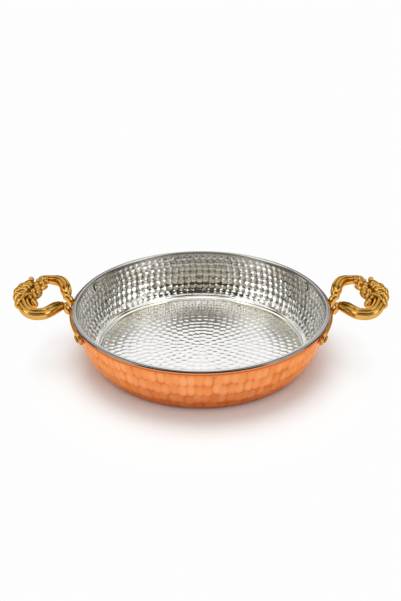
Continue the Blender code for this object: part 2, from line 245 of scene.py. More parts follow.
copper = metal("hammeredCopper", edge=(1.0, 0.74, 0.52), bump=0.05, finish={
    "Clean Colour": (0.96, 0.315, 0.096),
    "Pale Colour": (1.0, 0.46, 0.21),
    "Tarnish And Shade Colour": (0.55, 0.10, 0.018),
    "Cloud Size": 0.018,
    "Cloud Amount": 0.2,
    "Grain Size": 0.0005,
    "Smoothest": 0.14,
    "Roughest": 0.28,
})
tin = metal("handWipedTin", edge=(1.0, 1.0, 1.0), bump=0.03, finish={
    "Clean Colour": (0.90, 0.893, 0.88),
    "Pale Colour": (0.92, 0.92, 0.92),
    "Tarnish And Shade Colour": (0.12, 0.11, 0.09),
    "Cloud Size": 0.012,
    "Cloud Amount": 0.08,
    "Grain Size": 0.0006,
    "Smoothest": 0.06,
    "Roughest": 0.15,
})
brass = metal("polishedBrass", edge=(0.80, 0.52, 0.18), bump=0.008, finish={
    "Clean Colour": (0.82, 0.455, 0.115),
    "Pale Colour": (0.82, 0.455, 0.115),
    "Tarnish And Shade Colour": (0.05, 0.012, 0.001),
    "Cloud Size": 0.008,
    "Cloud Amount": 0.12,
    "Grain Size": 0.0008,
    "Smoothest": 0.05,
    "Roughest": 0.13,
})
rivetBrass = metal("rivetBrass", edge=(1.0, 0.75, 0.45), bump=0.05, finish={
    "Clean Colour": (0.56, 0.27, 0.075),
    "Pale Colour": (0.66, 0.34, 0.10),
    "Tarnish And Shade Colour": (0.12, 0.035, 0.006),
    "Cloud Size": 0.003,
    "Cloud Amount": 0.3,
    "Grain Size": 0.0004,
    "Smoothest": 0.16,
    "Roughest": 0.3,
})
print("materials made")


# Turned and hammered metal. A drawing holds the profile as a line and one loose point for each
# row of blows; the tree turns the line round Z and beats the rows into it.

def hammeredTurningTree():
    tree, start = geometryTree("hammeredTurning", {
        "Steps Round": 600,
        "Mark Depth": 0.0002,
        "Mark Reach": 0.0036,
        "Upright Scale": 1.0,  # lower than 1 makes the marks taller than wide
        "Dished": 1.0,
        "Seam Shade": 0.3,
        "Seam Sharpness": 4.0,
        "Mark Tone And Highlight": 0.0,
        "Wander": 0.0004,
        "Uneven": 0.3,
        "Seed": 1,
    })
    plus, minus, times, over = sums(tree)

    def around(radius, angle, height):
        x, y = (times(radius, maths(tree, wave, angle)) for wave in ("COSINE", "SINE"))
        return combined(tree, x, y, height)

    def squashed(place):
        return vectorMaths(tree, "MULTIPLY", {0: place, 1: combined(tree, 1, 1, start["Upright Scale"])})

    # Blows: each loose point is copied round its ring, with a little wander
    here = tree.nodes.new("GeometryNodeInputPosition").outputs[0]
    apart = addNode(tree, "GeometryNodeSeparateGeometry", {
        "Geometry": start["Drawing"],
        "Selection": maths(tree, "GREATER_THAN", named(tree, "blows"), 0.5),
    }, domain="POINT")
    copies = addNode(tree, "GeometryNodeDuplicateElements", {
        "Geometry": apart.outputs["Selection"],
        "Amount": named(tree, "blows"),
    }, domain="POINT")
    spot = addNode(tree, "ShaderNodeSeparateXYZ", {0: here}).outputs
    turn = plus(copies.outputs["Duplicate Index"], named(tree, "shift"))
    angle = times(over(turn, named(tree, "blows")), 2 * pi)
    stray = addNode(tree, "FunctionNodeRandomValue", {
        0: (-1, -1, -1), 1: (1, 1, 1), "Seed": start["Seed"],
    }, data_type="FLOAT_VECTOR").outputs[0]
    wandered = vectorMaths(tree, "ADD", {
        0: around(spot["X"], angle, spot["Z"]),
        1: vectorMaths(tree, "SCALE", {0: stray, "Scale": start["Wander"]}),
    })
    struck = moved(tree, copies.outputs["Geometry"], squashed(wandered))

    # Skin: a grid with one column for each step round, laid on the profile
    profile = apart.outputs["Inverted"]
    size = addNode(tree, "GeometryNodeAttributeDomainSize", {0: profile}).outputs["Point Count"]
    grid = addNode(tree, "GeometryNodeMeshGrid", {
        "Vertices X": plus(start["Steps Round"], 1),
        "Vertices Y": size,
    }).outputs["Mesh"]
    index = tree.nodes.new("GeometryNodeInputIndex").outputs[0]
    station = maths(tree, "FLOOR", over(plus(index, 0.5), size))
    row = minus(index, times(station, size))

    def sampled(value, kind):
        return addNode(tree, "GeometryNodeSampleIndex", {
            "Geometry": profile, "Value": value, "Index": row,
        }, data_type=kind, domain="POINT").outputs[0]

    grid = stored(tree, grid, {name: sampled(named(tree, name), "FLOAT") for name in ("struck", "dark")})
    onProfile = addNode(tree, "ShaderNodeSeparateXYZ", {0: sampled(here, "FLOAT_VECTOR")}).outputs
    turned = times(over(station, start["Steps Round"]), 2 * pi)
    skin = merged(tree, moved(tree, grid, around(onProfile["X"], turned, onProfile["Z"])))

    # Marks: depth from the distance to the nearest blow
    spotHere = squashed(here)
    near = addNode(tree, "GeometryNodeProximity", {
        0: struck, "Sample Position": spotHere,
    }, target_element="POINTS").outputs["Distance"]
    nearest = addNode(tree, "GeometryNodeSampleNearest", {
        "Geometry": struck, "Sample Position": spotHere,
    }, domain="POINT").outputs[0]
    chance = addNode(tree, "FunctionNodeRandomValue", {
        2: 0.0, 3: 1.0, "ID": nearest, "Seed": start["Seed"],
    }, data_type="FLOAT").outputs[1]
    share = maths(tree, "MINIMUM", over(near, start["Mark Reach"]), 1.0)
    bowl = times(share, share)
    dish = minus(1.0, bowl)
    cut = addNode(tree, "ShaderNodeMix", {0: start["Dished"], 2: bowl, 3: dish}).outputs[0]
    varied = minus(1.0, times(chance, start["Uneven"]))
    sunk = times(cut, varied, start["Mark Depth"], named(tree, "struck"), -1)
    # Seams between marks, darkest at the corners, get painted shade; each mark gets a paler tone at random,
    # brightest at its middle as a painted highlight
    seam = times(maths(tree, "POWER", share, start["Seam Sharpness"]), start["Seam Shade"])
    toned = stored(tree, skin, {
        "shade": maths(tree, "MULTIPLY_ADD", seam, named(tree, "struck"), named(tree, "dark")),
        "tone and highlight": times(chance, times(dish, start["Mark Tone And Highlight"]), named(tree, "struck")),
    })
    normal = tree.nodes.new("GeometryNodeInputNormal").outputs[0]
    beaten = moved(tree, toned, vectorMaths(tree, "SCALE", {0: normal, "Scale": sunk}), "Offset")
    smooth = addNode(tree, "GeometryNodeSetShadeSmooth", {"Geometry": beaten}).outputs[0]
    return closeTree(tree, smooth, start["Finish"])


hammeredTurning = hammeredTurningTree()


# points: radius, height, how fully struck and, for lines of painted shade, how dark; rows: radius, height,
# blows, shift
def hammered(name, points, rows, marks):
    mesh = bpy.data.meshes.new(name)
    places = [(place[0], 0, place[1]) for place in points + rows]
    mesh.from_pydata(places, [(i, i + 1) for i in range(len(points) - 1)], [])
    noPoints, noRows = [0.0] * len(points), [0.0] * len(rows)
    columns = {
        "struck": [p[2] for p in points] + noRows,
        "dark": [p[3] if len(p) > 3 else 0.0 for p in points] + noRows,
        "blows": noPoints + [float(r[2]) for r in rows],
        "shift": noPoints + [float(r[3]) for r in rows],
    }
    for column, values in columns.items():
        mesh.attributes.new(column, "FLOAT", "POINT").data.foreach_set("value", values)
    return grow(name, mesh, hammeredTurning, marks)


def arc(centre, radius, start, end, steps):
    turns = [start + (end - start) * i / steps for i in range(steps + 1)]
    return [(centre[0] + radius * cos(t), centre[1] + radius * sin(t)) for t in turns]


def measured(points):
    line = np.array(points)
    return line, np.concatenate([[0], np.cumsum(np.hypot(*np.diff(line, axis=0).T))])


# The places of a line at those distances from its start
def placesAt(points, distances):
    line, lengths = measured(points)
    return list(zip(*(np.interp(distances, lengths, line[:, i]) for i in (0, 1))))


# The same line with points at even gaps
def spaced(points, gap):
    total = measured(points)[1][-1]
    return placesAt(points, np.linspace(0, total, max(2, ceil(total / gap) + 1)))


# From 0 to 1 over that length
def ramp(distance, length):
    return min(max(distance / length, 0), 1)


# Pan: the same section as the solid body, in three turned shells

pan = {
    "rimRadius": 0.100,
    "height": 0.042,
    "wall": 0.003,
    "lean": radians(14),
    "straight": 0.0218,  # slant length of the straight wall
    "sideRadius": 0.04375,
    "cornerRadius": 0.006,
    "filletRadius": 0.006,
    "lipWidth": 0.0036,
    "lipDepth": 0.0018,
    "lipEdge": 0.0013,  # tin that shows round the outside of the lip
    "lipCrown": 0.0005,
    "lipBevel": (0.0005, 0.0006),  # width and drop of its inner edge
    "lipChamfer": (0.0006, 0.0009),  # and of its outer edge
    # Shares across the lip's flat, and how dark the painted reflection lines are there
    "lipShade": ((0.06, 0.0), (0.16, 0.5), (0.30, 0.45), (0.42, 0.0), (0.84, 0.0), (0.95, 0.5)),
    "band": 0.0034,  # smooth band under the lip, down to the incised line
    "bandSteps": (0.0022, 0.0017),
    "line": 0.0011,
    "lineDepth": 0.0005,
    "floorEdge": 0.0804,  # radius of the ring round the hammered floor
}
hair = 0.0001  # step of a fine edge, and gap between faces that mustn't meet


def sideCentre():
    inward = pan["straight"] * sin(pan["lean"]) + pan["sideRadius"] * cos(pan["lean"])
    down = pan["straight"] * cos(pan["lean"]) - pan["sideRadius"] * sin(pan["lean"])
    return pan["rimRadius"] - inward, pan["height"] - down


# From the floor's edge up round the corner and the side to the straight wall
def turnedSide(side, corner, floor, steps=24):
    x, z = sideCentre()
    height = floor + corner
    small = (x + sqrt((side - corner) ** 2 - (z - height) ** 2), height)
    meet = atan2(small[1] - z, small[0] - x)
    rounding = arc(small, corner, -pi / 2, meet, steps)
    return rounding + arc((x, z), side, meet, -pan["lean"], steps)[1:]


def wallPoint(down, out):
    radius = pan["rimRadius"] - down * sin(pan["lean"]) + out * cos(pan["lean"])
    return radius, pan["height"] - down * cos(pan["lean"]) - out * sin(pan["lean"])


# How far down the slant from the rim a point of the straight inner wall lies
def pointDown(point):
    return (pan["height"] - point[1] + pan["wall"] * sin(pan["lean"])) / cos(pan["lean"])


# The inner face, sunk that far into the metal, from the floor's edge up to the lip
def insideLine(sunk):
    side = turnedSide(pan["sideRadius"] - pan["wall"] + sunk, pan["filletRadius"] + sunk, pan["wall"] - sunk)
    footOfLip = pan["lipDepth"] + pan["wall"] * sin(pan["lean"]) + 2 * (pan["lipWidth"] - pan["wall"])
    return side + [wallPoint(footOfLip, sunk - pan["wall"])]


# Sizes of the marks and of the skin that carries them; the capital names are the tree's own inputs
outsideMarks = {
    "across": 0.0057,
    "rowPitch": 0.0098,
    "ageing": ((0.016, 0.20), (0.0030, 0.6)),  # painted shade: deeper colour below each height, and how much at the floor
    "spacing": 0.00085,
    "baseInset": 0.004,
    "basePitch": 0.0085,
    "baseStruck": 0.55,
    "baseSpacing": 0.0035,
    "hidden": (0.0012, 0.008),  # depth of the shell's hidden face in the metal, and its spacing
    "Steps Round": 864,
    "Mark Depth": 0.00050,
    "Mark Reach": 0.0036,
    "Dished": 1.0,
    "Seam Shade": 0.5,
    "Seam Sharpness": 7.0,
    "Mark Tone And Highlight": 0.9,
    "Wander": 0.0012,
    "Uneven": 0.5,
    "Seed": 3,
    "Finish": copper,
}


# Rows of blows down a line, each shifted half a mark against the row above
def ringRows(line, first, pitch, across):
    count = int((measured(line)[1][-1] - first) / pitch) + 1
    middles = placesAt(line, [first + i * pitch for i in range(count)])
    rounds = [max(1, round(2 * pi * radius / across)) for radius, _ in middles]
    return [(*middle, blows, 0.5 * (i % 2)) for i, (middle, blows) in enumerate(zip(middles, rounds))]


def makeCopperShell():
    marks = outsideMarks
    band, line, edge = pan["band"], pan["line"], pan["lipEdge"]
    side = turnedSide(pan["sideRadius"], pan["cornerRadius"], 0)
    side.append(wallPoint(band + line / 2, 0))
    foot = side[0][0]
    points = [(r, z, marks["baseStruck"]) for r, z in spaced([(0, 0), (foot, 0)], marks["baseSpacing"])[:-1]]
    wall = spaced(side, marks["spacing"])
    # Painted shade on the hammered wall, deeper towards the floor
    for r, z in wall[:-2]:
        points.append((r, z, 1.0, sum(amount * max(0, 1 - z / high) for high, amount in marks["ageing"])))
    # Painted shade in the incised line under the band
    points.append((*wall[-1], 0.0, 0.4))
    overLine = [(band, -pan["lineDepth"], 1.0), (band - line / 2, 0, 0.5), (band - line, 0, 0.0)]
    overLine += [(down, 0, 0.0) for down in pan["bandSteps"]]
    overLine += [(edge + hair, -hair, 0.0), (edge, -4 * hair, 0.0)]
    points += [(*wallPoint(down, out), 0.0, dark) for down, out, dark in overLine]
    points.append((pan["rimRadius"] - pan["lipWidth"] + 0.001, pan["height"] - edge - 4 * hair, 0.0))
    sunk, gap = marks["hidden"]
    points += [(r, z, 0.0) for r, z in spaced(insideLine(sunk), gap)[::-1]] + [(0, pan["wall"] - sunk, 0.0)]
    pitch = marks["rowPitch"]
    rows = ringRows(side[::-1], pitch / 2, pitch, marks["across"])
    rows += ringRows([(foot - marks["baseInset"], 0), (0, 0)], 0, marks["basePitch"], marks["basePitch"])
    return hammered("copperShell", points, rows, {**marks, "Upright Scale": marks["across"] / pitch})


wallMarks = {
    "across": 0.0055,
    "first": 0.0056,  # the top row's middle, down the slant from the rim
    "rowPitch": 0.0051,
    "lowest": (0.0842, 0.0007),  # radius where the lowest row ends, and length over which it grows
    "lowRows": (0.0950, 0.002, 1.75),  # rows inside this radius grow over this length to this much more
    "plainBand": (0.0034, 0.0008),  # from the rim, and length over which the marks begin below it
    # Painted shade on the plain band under the lip
    "bandShade": 0.45,
    "spacing": 0.0007,
    "hidden": (0.0008, 0.004),
    "overlap": 0.0012,  # under the floor's edge
    "Steps Round": 880,
    "Mark Depth": 0.00040,
    "Mark Reach": 0.0031,
    "Dished": 0.0,
    "Seam Shade": 0.45,
    "Wander": 0.0005,
    "Uneven": 0.4,
    "Seed": 5,
    "Finish": tin,
}


# The lip's section from its inner edge to its outer one: radius, height and how dark, for thin dark lines of
# painted reflection along its edges and on its flat
def lipSection():
    inner, outer, top = pan["rimRadius"] - pan["lipWidth"], pan["rimRadius"] - hair, pan["height"]
    bevel, drop = pan["lipBevel"]
    width, fall = pan["lipChamfer"]
    low = top - pan["lipCrown"]
    flat = outer - width - inner - bevel
    rise = [(inner - (pan["lipDepth"] - drop) * sin(pan["lean"]), top - pan["lipDepth"], 0.6)]
    rise += [(inner, top - drop - 2 * hair, 0.6), (inner + hair, top - drop, 0.35)]
    rise += [(inner + bevel - hair, top - hair, 0.2), (inner + bevel + hair, top, 0.0)]
    crown = [(inner + bevel + flat * s, top - pan["lipCrown"] * s**2, dark) for s, dark in pan["lipShade"]]
    fallen = [(outer - width, low), (outer - width + hair, low - hair)]
    fallen += [(outer - hair, low - fall + hair), (outer, low - fall)]
    return rise + crown + [(r, z, 0.8) for r, z in fallen]


def makeTinWall():
    marks = wallMarks
    top, edge, lap = pan["height"], pan["lipEdge"], marks["overlap"]
    face = insideLine(0)
    lowest, growth = marks["lowest"]
    fullest, fading, more = marks["lowRows"]
    plain, beginning = marks["plainBand"]
    points = []
    for r, z in spaced(face, marks["spacing"]):
        if r > pan["floorEdge"] + hair:
            struck = ramp(r - lowest, growth) * (1 + (more - 1) * ramp(fullest - r, fading))
            below = ramp(top - plain - z, beginning)
            points.append((r, z, struck * below, marks["bandShade"] * (1 - below)))
    points += [(r, z, 0, dark) for r, z, dark in lipSection()]
    sunk, gap = marks["hidden"]
    hidden = insideLine(sunk)
    back = [wallPoint(edge - hair, -hair), wallPoint(edge, -0.0005)]
    back.append((hidden[-1][0] + 0.0003, top - edge - hair))
    back += [place for place in spaced(hidden, gap)[::-1] if place[0] > pan["floorEdge"] + lap]
    back += [(pan["floorEdge"] - lap, pan["wall"] - 0.0005), (pan["floorEdge"] - lap, pan["wall"] - 2 * hair)]
    back.append((points[0][0] - hair, pan["wall"] - hair))
    points += [(*place, 0) for place in back] + [points[0]]
    down = face[::-1]
    rows = ringRows(down, marks["first"] - pointDown(down[0]), marks["rowPitch"], marks["across"])
    return hammered("tinWall", points[::-1], [row for row in rows if row[0] > lowest], marks)


floorMarks = {
    "across": 0.0055,
    "rowPitch": 0.0055,
    "spacing": 0.00085,
    "gap": 0.0003,  # to the wall's tin
    "thickness": 0.0006,
    "underInset": 0.002,
    "Steps Round": 560,
    "Mark Depth": 0.00038,
    "Mark Reach": 0.0031,
    "Dished": 0.0,
    "Seam Shade": 0.2,
    "Wander": 0.00035,
    "Uneven": 0.4,
    "Seed": 9,
    "Finish": tin,
}


def makeTinFloor():
    marks = floorMarks
    rim, top, under = pan["floorEdge"] - marks["gap"], pan["wall"] + hair, pan["wall"] - marks["thickness"]
    face = [(0, top), (rim, top)]
    points = [(r, z, 1.0) for r, z in spaced(face, marks["spacing"])[:-1]]
    # Painted shade along the floor's edge, where it meets the wall
    points += [(rim, top, 0, 0.5), (rim + hair, top - hair, 0, 0.8), (rim + hair, top - 2 * hair, 0, 0.8)]
    points += [(rim - marks["underInset"], under, 0), (0, under, 0)]
    rows = ringRows(face[::-1], marks["rowPitch"] / 2, marks["rowPitch"], marks["across"])
    return hammered("tinFloor", points[::-1], rows, marks)


for piece in (makeCopperShell(), makeTinWall(), makeTinFloor()):
    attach(piece, "root")
    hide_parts("pan_body")
    print(piece.name, len(piece.data.vertices), "points")


# Handles: swept arms, fanned ribs and small forms, fused into one casting

mm = 0.001
handle = {
    "legOut": 0.0040,  # outward from the rim, sideways from the handle's middle, up from the rim
    "legSpread": 0.0077,
    "legRise": 0.0012,
    "loopOut": 0.0380,
    "loopSpread": 0.0295,
    "loopRise": 0.0054,
    "widest": 0.57,
    "endRise": 0.0082,
    "armRadius": 0.0044,
    "armEndRadius": 0.0047,
    "farEndShare": 0.85,
    "startRadius": 0.0036,
    "startLength": 0.006,
    "swell": (0.55, 0.8),  # shares of the length between which the end's radius is reached
    "innerRoll": (150, 0.0008, 6),  # degrees round from the arm's outer side, height and sharpness
    "grooves": ((66, 0.0010), (121, 0.0011), (157, 0.0007)),  # degrees and depth
    "grooveSharpness": 44,
    "barRadius": 0.0029,  # of the short bar from strap to arm
    "section": 40,
    "spacing": 0.0006,
    "voxel": 0.00036,
    "smoothing": 3,
    "hollowRounds": 18,
    "hollowDepth": 0.0002,  # under the smoothed skin, where a hollow's painted shade is full
}
strap = {
    "thickness": 0.0024,
    "height": 0.0110,
    "top": 0.0024,
    "chamfer": 0.0009,
    "softening": 0.3,  # of the chamfer's corners
    "gap": 0.0003,
    "steps": 60,
}
rivetAngle = radians(25)


def overRim(out, side, up):
    return Vector((pan["rimRadius"] + out, side, pan["height"] + up))


def armPoint(outward, sideways, upward):
    out = handle["legOut"] + (handle["loopOut"] - handle["legOut"]) * outward
    side = handle["legSpread"] + (handle["loopSpread"] - handle["legSpread"]) * sideways
    return overRim(out, side, handle["legRise"] + (handle["loopRise"] - handle["legRise"]) * upward)


# Shares of the way from leg to loop: outward, sideways and up
armPaths = {
    "far": [
        (0.045, 0.03, -0.10), (0.062, 0.14, 0.20), (0.085, 0.26, 0.50), (0.125, 0.46, 0.90),
        (0.22, 0.71, 1.12), (0.34, 0.90, 1.03), (0.465, 0.98, 0.95), (handle["widest"], 1.00, 1.00),
        (0.645, 0.95), (0.70, 0.85), (0.735, 0.72),
    ],
    "near": [
        (0.105, 0.03, -0.05), (0.145, 0.17, 0.25), (0.19, 0.42, 0.60), (0.25, 0.73, 0.95), (0.35, 0.95, 1.04),
        (0.465, 1.00, 1.00), (handle["widest"], 1.00, 1.00),
        (0.67, 0.96), (0.745, 0.87), (0.82, 0.69), (0.885, 0.44), (0.93, 0.14), (0.95, -0.20),
    ],
}


def endPoint(outward, sideways):
    point = armPoint(outward, sideways, 1.0)
    climb = (outward - handle["widest"]) / (1 - handle["widest"])
    point.z += (handle["endRise"] - handle["loopRise"]) * climb
    return point


# Evenly spaced points on a smooth curve through the guides, with their distances and the whole length
def smoothPath(guides, gap):
    points = [guides[0] * 2 - guides[1]] + guides + [guides[-1] * 2 - guides[-2]]
    fine = []
    for a, b, c, d in zip(points, points[1:], points[2:], points[3:]):
        for step in range(24):
            t = step / 24
            near = (2 * b) + (c - a) * t + (2 * a - 5 * b + 4 * c - d) * t**2
            fine.append((near + (3 * b - a - 3 * c + d) * t**3) * 0.5)
    fine.append(guides[-1])
    line = np.array([tuple(p) for p in fine])
    lengths = np.concatenate([[0], np.cumsum(np.linalg.norm(np.diff(line, axis=0), axis=1))])
    wanted = np.linspace(0, lengths[-1], max(2, round(lengths[-1] / gap)) + 1)
    spots = np.stack([np.interp(wanted, lengths, line[:, i]) for i in range(3)], axis=1)
    return [Vector(p) for p in spots], wanted, lengths[-1]


def ease(value, start, end):
    t = ramp(value - start, end - start)
    return t * t * (3 - 2 * t)


# Faces between rings of places, closed at both ends
def addSkin(bm, rings):
    rings = [[bm.verts.new(place) for place in ring] for ring in rings]
    for first, second in zip(rings, rings[1:]):
        for i in range(len(first)):
            j = (i + 1) % len(first)
            bm.faces.new((first[i], first[j], second[j], second[i]))
    bm.faces.new(rings[0])
    bm.faces.new(rings[-1][::-1])


# Closed skin round a path, with its section kept upright once the path leaves the wall
def sweep(bm, guides, radiusAt, section=handle["section"], gap=handle["spacing"]):
    spots, lengths, total = smoothPath(guides, gap)
    turns = [2 * pi * k / section for k in range(section)]
    rings = []
    for i, (spot, done) in enumerate(zip(spots, lengths)):
        tangent = (spots[min(i + 1, len(spots) - 1)] - spots[max(i - 1, 0)]).normalized()
        flat = 1 - tangent.z**2
        up = Vector((0, 0, 1)) * flat + Vector((-1, 0, 0)) * (1 - flat)
        up = (up - tangent * up.dot(tangent)).normalized()
        out = tangent.cross(up)
        rings.append([spot + (out * cos(t) + up * sin(t)) * radiusAt(t, done, total) for t in turns])
    addSkin(bm, rings)


# Share of the radius that is left near an end, for a rounded tip that is never quite a point
def roundEnd(left, radius):
    left = min(left, radius)
    return sqrt(max(0.03, 1 - (1 - left / radius) ** 2))


def armRadius(angle, done, total, endRadius):
    full = ease(done, 0, handle["startLength"])
    early, late = handle["swell"]
    base = handle["startRadius"] + (handle["armRadius"] - handle["startRadius"]) * full
    base += (endRadius - handle["armRadius"]) * ease(done, early * total, late * total)

    def ridge(degrees, height, sharpness):
        return height * max(0, cos(angle - radians(degrees))) ** sharpness

    shape = ridge(*handle["innerRoll"])
    for groove in handle["grooves"]:
        shape -= ridge(*groove, handle["grooveSharpness"])
    return roundEnd(min(total - done, done + 0.001), base) * (base + full * shape)


# A thin rounded line through places given as outward, sideways and up; widths are its radii
def tapered(bm, places, widths, section=14, gap=0.0004):
    def radiusAt(angle, done, total):
        share = done / total * (len(widths) - 1)
        radius = float(np.interp(share, range(len(widths)), widths))
        return radius * roundEnd(min(done, total - done) + 0.00002, radius)

    sweep(bm, [overRim(*place) for place in places], radiusAt, section, gap)


# A round form: half sizes along its turned reach, across and up
def bead(bm, place, sizes, turn=0):
    spot = Matrix.Translation(overRim(*place)) @ Matrix.Rotation(radians(turn), 4, "Z")
    made = bmesh.ops.create_uvsphere(bm, u_segments=28, v_segments=16, radius=1)
    bmesh.ops.transform(bm, matrix=spot @ Matrix.Diagonal((*sizes, 1)), verts=made["verts"])


# Ribs of the shell: a fan of rolls that curl over the loop's outer end

shell = {
    "Ribs": 5,
    "Root Out": 0.0345,
    "Tip Out": 0.0455,
    "Tip Curve": 0.0018,  # each rib's tip steps back by this, times its count from the middle squared
    "Root Pitch": 0.0052,
    "Tip Pitch": 0.0101,
    "Rise": 0.0078,  # of the curl's centre over the rim
    "Side Droop": 0.0005,
    "Curl Reach": 0.0042,
    "Curl Height": 0.0024,
    "Curl Start": -62.0,  # degrees from straight up
    "Curl End": 128.0,
    "Half Thick": 0.0036,
    "Half Wide": 0.0047,
    "Rim Radius": 0.100,
    "Rim Height": 0.042,
}


def shellRibsTree():
    tree, start = geometryTree("shellRibs", shell)
    plus, minus, times, over = sums(tree)
    stations, section = 41, 33

    def hypotenuse(a, b):
        return maths(tree, "SQRT", plus(times(a, a), times(b, b)))

    # One sheet for each rib, with its own place in the fan
    index = tree.nodes.new("GeometryNodeInputIndex").outputs[0]
    middle = over(minus(start["Ribs"], 1), 2)
    cloud = addNode(tree, "GeometryNodePoints", {"Count": start["Ribs"]}).outputs[0]
    fan = stored(tree, cloud, {"rib": minus(index, middle)})
    sheet = addNode(tree, "GeometryNodeMeshGrid", {"Vertices X": stations, "Vertices Y": section})
    station = maths(tree, "FLOOR", over(plus(index, 0.5), section))
    sheet = stored(tree, sheet.outputs["Mesh"], {
        "along": over(station, stations - 1),
        "turn": times(minus(index, times(station, section)), 2 * pi / (section - 1)),
    })
    copies = addNode(tree, "GeometryNodeInstanceOnPoints", {"Points": fan, "Instance": sheet}).outputs[0]
    sheets = addNode(tree, "GeometryNodeRealizeInstances", {"Geometry": copies}).outputs[0]
    rib, along, turn = (named(tree, name) for name in ("rib", "along", "turn"))

    # Plan of a rib: from its root to its tip
    square = times(rib, rib)
    rootY = times(rib, start["Root Pitch"])
    runX = minus(start["Tip Out"], times(square, start["Tip Curve"]), start["Root Out"])
    runY = minus(times(rib, start["Tip Pitch"]), rootY)
    run = hypotenuse(runX, runY)
    dirX, dirY = over(runX, run), over(runY, run)

    # Curl: a half turn over the loop's end
    degrees = plus(times(minus(start["Curl End"], start["Curl Start"]), along), start["Curl Start"])
    curl = times(degrees, pi / 180)
    sine, cosine = maths(tree, "SINE", curl), maths(tree, "COSINE", curl)
    reach, high = start["Curl Reach"], start["Curl Height"]
    normalR, normalZ = times(high, sine), times(reach, cosine)
    size = hypotenuse(normalR, normalZ)
    fromMiddle = maths(tree, "ABSOLUTE", minus(times(along, 2), 1))
    taper = maths(tree, "SQRT", minus(1, maths(tree, "POWER", fromMiddle, 3.0)))
    thick = times(start["Half Thick"], taper, maths(tree, "COSINE", turn))
    widen = maths(tree, "MINIMUM", plus(times(along, 0.5), 0.62), 1.0)
    wide = times(start["Half Wide"], taper, widen, maths(tree, "SINE", turn))
    centre = minus(run, start["Half Thick"], reach)
    distance = plus(centre, times(reach, sine), times(over(normalR, size), thick))
    x = plus(plus(start["Root Out"], start["Rim Radius"]), minus(times(dirX, distance), times(dirY, wide)))
    y = plus(rootY, plus(times(dirY, distance), times(dirX, wide)))
    climb = plus(times(high, cosine), times(over(normalZ, size), thick))
    z = minus(plus(plus(start["Rim Height"], start["Rise"]), climb), times(square, start["Side Droop"]))
    return closeTree(tree, merged(tree, moved(tree, sheets, combined(tree, x, y, z))), start["Finish"])


# Radius and height of the strap's middle line, where it meets the wall
def strapMiddle():
    return wallPoint(strap["top"] + strap["height"] / 2, 0)


def strapPoint(along, down, out):
    radius, height = wallPoint(down, strap["gap"] + out)
    turn = along / strapMiddle()[0]
    return Vector((radius * cos(turn), radius * sin(turn), height))


def addStrap(bm):
    half, face, steps = strap["height"] / 2, strap["thickness"], strap["steps"]
    straight = strapMiddle()[0] * rivetAngle
    stations = [(straight * i / steps, half) for i in range(steps + 1)]
    stations += [(straight + half * sin(t), half * cos(t)) for t in np.radians(np.arange(6, 88, 6))]
    stations = [(-s, h) for s, h in stations[:0:-1]] + stations
    rings = []
    for along, height in stations:
        inset = min(strap["chamfer"], height * 0.5)
        soft = inset * strap["softening"]
        rise = [(-height, 0), (-height, face - inset), (-height + soft, face - soft), (-height + inset, face)]
        outline = rise + [(0, face)] + [(-across, out) for across, out in rise[::-1]]
        rings.append([strapPoint(along, strap["top"] + half + across, out) for across, out in outline])
    addSkin(bm, rings)


def addArms(bm):
    guides = {}
    for name, shares in armPaths.items():
        guides[name] = [armPoint(*share) if len(share) == 3 else endPoint(*share) for share in shares]
    near = [Vector((p.x, -p.y, p.z)) for p in guides["near"]]
    sweep(bm, near, lambda turn, *way: armRadius(turn, *way, handle["armEndRadius"]))
    farEnd = handle["armRadius"] * handle["farEndShare"]
    sweep(bm, guides["far"], lambda turn, *way: armRadius(pi - turn, *way, farEnd))


# In millimetres: out, up and, for the line, how much of the leg's slant it has taken there
legs = {
    "sides": ((-7.7, 0), (7.0, 1.6)),  # place sideways and slant
    "line": ((1.0, -6.2, 0), (2.6, -3.6, 0), (3.6, -1.0, 0.1), (5.4, 0.4, 0.5), (8.9, 0.7, 1)),
    "beads": (((4.0, 0.6), (1.5, 3.6, 3.2)), ((6.9, 0.9), (1.4, 3.8, 3.3))),  # place, half sizes
    "section": 24,
}


# A short bar carries each arm from the strap, and the near one has a pair of small beads on it
def addLegs(bm):
    radius = handle["barRadius"]
    for side, slant in legs["sides"]:
        places = [[out * mm, (side + slant * share) * mm, up * mm] for out, up, share in legs["line"]]
        tapered(bm, places, [radius * 0.8, radius, radius, radius * 0.95], legs["section"])
        if side < 0:
            for (out, up), sizes in legs["beads"]:
                bead(bm, (out * mm, side * mm, up * mm), [size * mm for size in sizes])


